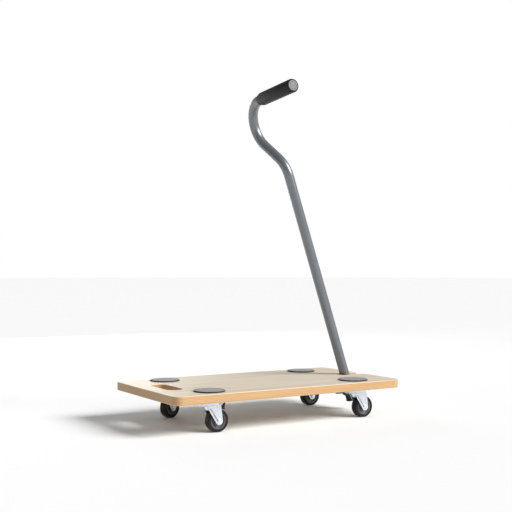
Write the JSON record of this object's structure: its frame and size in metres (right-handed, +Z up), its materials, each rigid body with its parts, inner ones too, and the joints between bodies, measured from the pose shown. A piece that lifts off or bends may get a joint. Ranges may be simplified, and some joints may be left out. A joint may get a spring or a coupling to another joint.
{
  "type": "folding platform cart",
  "caption": "Flat plywood platform cart on small swivel casters, with rubber load pads, a hand slot and a folding gooseneck pull handle.",
  "frame": {"origin": "on the floor, under the middle of the deck", "axes": "+X along the deck to the handle end, +Y to the left side, +Z up"},
  "size_m": [0.6, 0.32, 0.7869],
  "materials": {
    "deck_plywood": "clear-lacquered plywood face with layered edges",
    "pad_rubber": "matt grey rubber with a darker rim",
    "zinc_fastener": "bright zinc plating",
    "zinc_steel": "bright bluish zinc plating on pressed steel",
    "ball_steel": "polished steel",
    "bracket_paint": "satin black powder coat",
    "tube_paint": "satin metallic grey paint",
    "grip_rubber": "matt black closed-cell foam rubber",
    "stop_rubber": "matt black rubber",
    "plug_plastic": "matt grey moulded plastic",
    "cap_plastic": "matt black moulded plastic",
    "washer_nylon": "natural nylon",
    "hub_plastic": "dark grey moulded plastic",
    "tyre_rubber": "black rubber with a soft sheen",
    "lever_plastic": "black moulded plastic"
  },
  "bodies": {
    "deck": {"deck_board": "deck_plywood", "pad_front_right": "pad_rubber", "pad_front_left": "pad_rubber", "pad_rear_right": "pad_rubber", "pad_rear_left": "pad_rubber", "caster_screws": "zinc_fastener", "handle_bracket": "bracket_paint", "bracket_screws": "zinc_fastener", "hinge_bolt": "zinc_fastener", "hinge_nut": "zinc_fastener", "hinge_washers": "zinc_fastener", "stop_bolt": "zinc_fastener", "stop_nut": "zinc_fastener", "stop_sleeve": "stop_rubber", "caster_plate_front_right": "zinc_steel", "caster_plate_front_left": "zinc_steel", "caster_plate_rear_right": "zinc_steel", "caster_plate_rear_left": "zinc_steel", "kingpin_front_right": "zinc_steel", "kingpin_front_left": "zinc_steel", "kingpin_rear_right": "zinc_steel", "kingpin_rear_left": "zinc_steel"},
    "handle": {"handle_tube": "tube_paint", "hand_grip": "grip_rubber", "grip_end_plug": "plug_plastic", "tube_foot_cap": "cap_plastic", "pivot_sleeve": "ball_steel", "pivot_washers": "washer_nylon"},
    "swivel_front_right": {"fork_front_right": "zinc_steel", "swivel_balls_front_right": "ball_steel", "axle_front_right": "zinc_steel", "axle_nut_front_right": "zinc_steel"},
    "wheel_front_right": {"wheel_hub_front_right": "hub_plastic", "tyre_front_right": "tyre_rubber"},
    "swivel_front_left": {"fork_front_left": "zinc_steel", "swivel_balls_front_left": "ball_steel", "axle_front_left": "zinc_steel", "axle_nut_front_left": "zinc_steel"},
    "wheel_front_left": {"wheel_hub_front_left": "hub_plastic", "tyre_front_left": "tyre_rubber"},
    "swivel_rear_right": {"fork_rear_right": "zinc_steel", "swivel_balls_rear_right": "ball_steel", "axle_rear_right": "zinc_steel", "axle_nut_rear_right": "zinc_steel", "brake_pin_rear_right": "zinc_steel"},
    "wheel_rear_right": {"wheel_hub_rear_right": "hub_plastic", "tyre_rear_right": "tyre_rubber"},
    "swivel_rear_left": {"fork_rear_left": "zinc_steel", "swivel_balls_rear_left": "ball_steel", "axle_rear_left": "zinc_steel", "axle_nut_rear_left": "zinc_steel", "brake_pin_rear_left": "zinc_steel"},
    "wheel_rear_left": {"wheel_hub_rear_left": "hub_plastic", "tyre_rear_left": "tyre_rubber"},
    "brake_rear_right": {"brake_lever_rear_right": "lever_plastic"},
    "brake_rear_left": {"brake_lever_rear_left": "lever_plastic"}
  },
  "joints": [
    {"name": "handle_fold", "type": "hinge", "parent": "deck", "child": "handle", "pos_m": [0.264, 0, 0.05], "axis": [0, 1, 0], "range_deg": [0, 100]},
    {"name": "swivel_front_right_turn", "type": "hinge", "parent": "deck", "child": "swivel_front_right", "pos_m": [0.198, -0.11, 0.06], "axis": [0, 0, 1], "continuous": true},
    {"name": "wheel_front_right_spin", "type": "hinge", "parent": "swivel_front_right", "child": "wheel_front_right", "pos_m": [0.22, -0.11, 0.025], "axis": [0, 1, 0], "continuous": true},
    {"name": "swivel_front_left_turn", "type": "hinge", "parent": "deck", "child": "swivel_front_left", "pos_m": [0.198, 0.11, 0.06], "axis": [0, 0, 1], "continuous": true},
    {"name": "wheel_front_left_spin", "type": "hinge", "parent": "swivel_front_left", "child": "wheel_front_left", "pos_m": [0.22, 0.11, 0.025], "axis": [0, 1, 0], "continuous": true},
    {"name": "swivel_rear_right_turn", "type": "hinge", "parent": "deck", "child": "swivel_rear_right", "pos_m": [-0.198, -0.11, 0.06], "axis": [0, 0, 1], "continuous": true},
    {"name": "wheel_rear_right_spin", "type": "hinge", "parent": "swivel_rear_right", "child": "wheel_rear_right", "pos_m": [-0.176, -0.11, 0.025], "axis": [0, 1, 0], "continuous": true},
    {"name": "swivel_rear_left_turn", "type": "hinge", "parent": "deck", "child": "swivel_rear_left", "pos_m": [-0.198, 0.11, 0.06], "axis": [0, 0, 1], "continuous": true},
    {"name": "wheel_rear_left_spin", "type": "hinge", "parent": "swivel_rear_left", "child": "wheel_rear_left", "pos_m": [-0.17733, 0.11752, 0.025], "axis": [-0.342, 0.9397, 0], "continuous": true},
    {"name": "brake_rear_right_press", "type": "hinge", "parent": "swivel_rear_right", "child": "brake_rear_right", "pos_m": [-0.181, -0.11, 0.0545], "axis": [0, 1, 0], "range_deg": [0, 6]},
    {"name": "brake_rear_left_press", "type": "hinge", "parent": "swivel_rear_left", "child": "brake_rear_left", "pos_m": [-0.18203, 0.11581, 0.0545], "axis": [-0.342, 0.9397, 0], "range_deg": [0, 6]}
  ]
}
